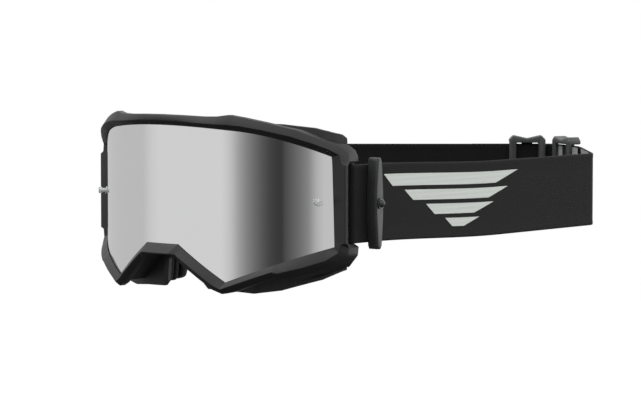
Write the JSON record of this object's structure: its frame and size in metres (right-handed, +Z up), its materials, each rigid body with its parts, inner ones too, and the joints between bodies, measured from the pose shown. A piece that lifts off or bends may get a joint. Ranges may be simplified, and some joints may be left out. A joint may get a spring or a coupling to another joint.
{
  "type": "motocross goggles",
  "caption": "Off-road riding goggles: mirrored lens in a faceted frame, layered face foam, and a wide elastic head strap with locking bars and sliders.",
  "frame": {"origin": "where the forehead presses on the face foam, on the middle plane, at the height of the strap's centre line", "axes": "+Z up, +Y back towards the face and the head, +X the wearer's left; the lens faces -Y"},
  "size_m": [0.209, 0.3241, 0.1023],
  "materials": {
    "mirror_lens": "silver mirror coating on polycarbonate",
    "bezel_tpu": "fine satin moulded polyurethane",
    "frame_tpu": "fine satin moulded polyurethane",
    "foam_base": "closed-cell foam",
    "foam_middle": "open-cell foam",
    "fleece": "moisture-wicking fleece on foam",
    "vent_foam": "open filter foam",
    "strap_elastic": "woven elastic webbing with a light grey woven pattern",
    "silicone": "satin silicone",
    "lock_nylon": "moulded nylon",
    "peg_nylon": "moulded nylon, slightly glossy",
    "clear_post": "clear polycarbonate",
    "slider_acetal": "moulded acetal"
  },
  "bodies": {
    "goggles": {"lens": "mirror_lens", "bezel": "bezel_tpu", "face_frame": "frame_tpu", "foam_base": "foam_base", "foam_middle": "foam_middle", "foam_fleece": "fleece", "vent_foam_top": "vent_foam", "vent_foam_low_left": "vent_foam", "vent_foam_low_right": "vent_foam", "band_left": "strap_elastic", "band_right": "strap_elastic", "grip_lines_left": "silicone", "grip_lines_right": "silicone", "lock_peg_left": "peg_nylon", "lock_peg_right": "peg_nylon", "lock_plate_left": "lock_nylon", "lock_plate_right": "lock_nylon", "tear_off_post_left": "clear_post", "tear_off_post_right": "clear_post", "post_washer_left": "clear_post", "post_washer_right": "clear_post"},
    "left_lock_bar": {"lock_bar_left": "lock_nylon"},
    "right_lock_bar": {"lock_bar_right": "lock_nylon"},
    "far_slider": {"slider_far": "slider_acetal"},
    "near_slider": {"slider_near": "slider_acetal"}
  },
  "joints": [
    {"name": "left_lock_turn", "type": "hinge", "parent": "goggles", "child": "left_lock_bar", "pos_m": [0.09415, 0.0324, 0], "axis": [1, 0, 0], "range_deg": [-12, 12]},
    {"name": "right_lock_turn", "type": "hinge", "parent": "goggles", "child": "right_lock_bar", "pos_m": [-0.09415, 0.0324, 0], "axis": [1, 0, 0], "range_deg": [-12, 12]},
    {"name": "far_slider_slide", "type": "slide", "parent": "goggles", "child": "far_slider", "axis": [-0.7687, -0.6396, 0], "range_m": [-0.001, 0.022]},
    {"name": "near_slider_slide", "type": "slide", "parent": "goggles", "child": "near_slider", "axis": [0.8952, -0.4457, 0], "range_m": [-0.001, 0.006]}
  ]
}
